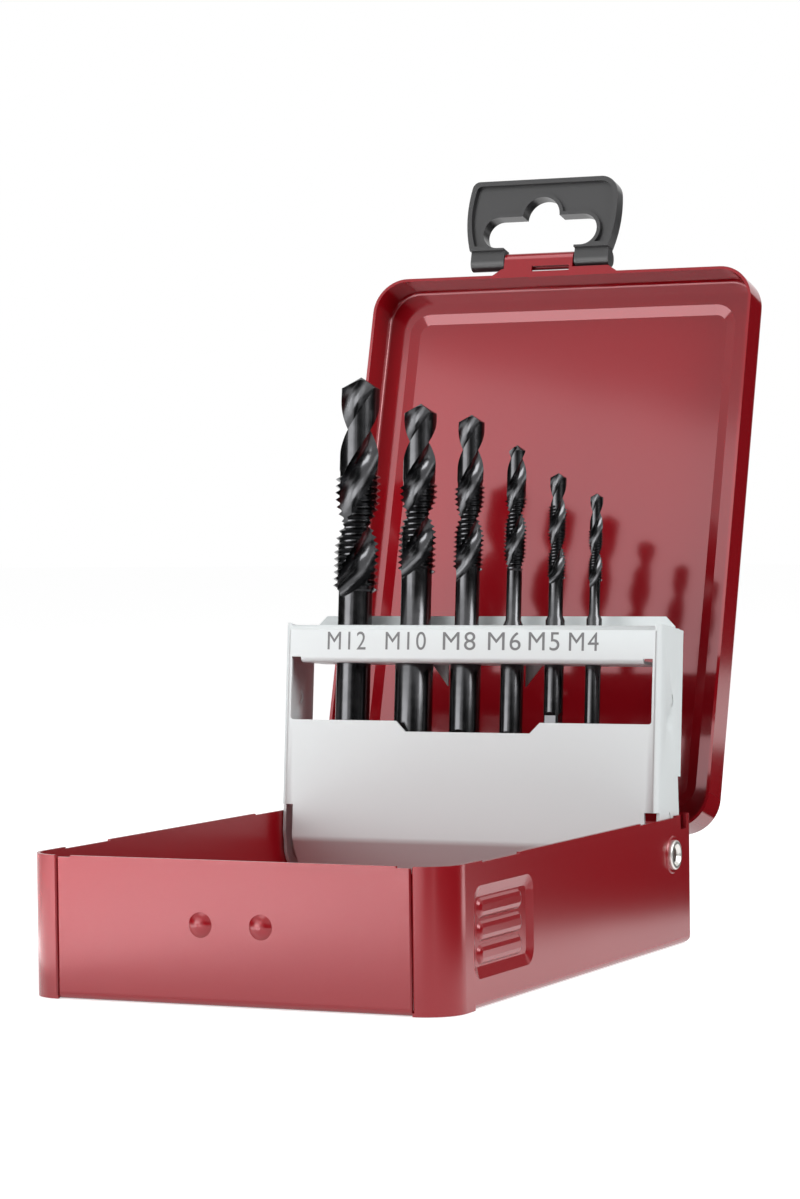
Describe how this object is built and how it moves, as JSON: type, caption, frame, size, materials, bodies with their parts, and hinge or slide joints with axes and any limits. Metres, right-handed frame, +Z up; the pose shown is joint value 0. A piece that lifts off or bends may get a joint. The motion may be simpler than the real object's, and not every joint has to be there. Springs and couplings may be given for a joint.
{
  "type": "drill tap bit case",
  "caption": "Folding sheet-steel case: open tray, hinged lid with a moulded hanger, and a fold-up holder with combination drill-and-tap bits standing in a row.",
  "frame": {"origin": "centre of the tray's flat underside", "axes": "+X to the right seen from the front, +Y towards the lid's hinge, +Z up out of the tray"},
  "size_m": [0.1108, 0.2104, 0.2016],
  "materials": {
    "case_paint": "gloss ruby red enamel",
    "holder_paint": "satin light grey enamel",
    "pin_steel": "drawn wire",
    "eyelet_nickel": "bright nickel",
    "hanger_plastic": "satin moulded black",
    "bit_steel": "ground, black oxide"
  },
  "bodies": {
    "tray": {"tray_shell": "case_paint", "hinge_pin": "pin_steel", "hinge_eyelet_left": "eyelet_nickel", "hinge_eyelet_right": "eyelet_nickel"},
    "lid": {"lid_shell": "case_paint"},
    "hanger": {"hanger": "hanger_plastic"},
    "holder": {"holder_frame": "holder_paint", "bit_rest": "holder_paint"},
    "bit_m12": {"bit_m12": "bit_steel"},
    "bit_m10": {"bit_m10": "bit_steel"},
    "bit_m8": {"bit_m8": "bit_steel"},
    "bit_m6": {"bit_m6": "bit_steel"},
    "bit_m5": {"bit_m5": "bit_steel"},
    "bit_m4": {"bit_m4": "bit_steel"}
  },
  "joints": [
    {"name": "lid_hinge", "type": "hinge", "parent": "tray", "child": "lid", "pos_m": [0, 0.07695, 0.0286], "axis": [-1, 0, 0], "range_deg": [-105.6, 0]},
    {"name": "holder_hinge", "type": "hinge", "parent": "tray", "child": "holder", "pos_m": [0, 0.0622, 0.0234], "axis": [-1, 0, 0], "range_deg": [-95.1, 0]},
    {"name": "hanger_hinge", "type": "hinge", "parent": "lid", "child": "hanger", "pos_m": [-0.007, 0.12624, 0.17873], "axis": [-1, 0, 0], "range_deg": [-90, 0]},
    {"name": "bit_m12_slide", "type": "slide", "parent": "holder", "child": "bit_m12", "axis": [0, 0.0889, 0.996], "range_m": [0, 0.05]},
    {"name": "bit_m10_slide", "type": "slide", "parent": "holder", "child": "bit_m10", "axis": [0, 0.0889, 0.996], "range_m": [0, 0.05]},
    {"name": "bit_m8_slide", "type": "slide", "parent": "holder", "child": "bit_m8", "axis": [0, 0.0889, 0.996], "range_m": [0, 0.05]},
    {"name": "bit_m6_slide", "type": "slide", "parent": "holder", "child": "bit_m6", "axis": [0, 0.0889, 0.996], "range_m": [0, 0.05]},
    {"name": "bit_m5_slide", "type": "slide", "parent": "holder", "child": "bit_m5", "axis": [0, 0.0889, 0.996], "range_m": [0, 0.05]},
    {"name": "bit_m4_slide", "type": "slide", "parent": "holder", "child": "bit_m4", "axis": [0, 0.0889, 0.996], "range_m": [0, 0.05]}
  ],
  "couplings": [
    {"joint": "holder_hinge", "follows": "lid_hinge", "ratio": 0.9}
  ]
}
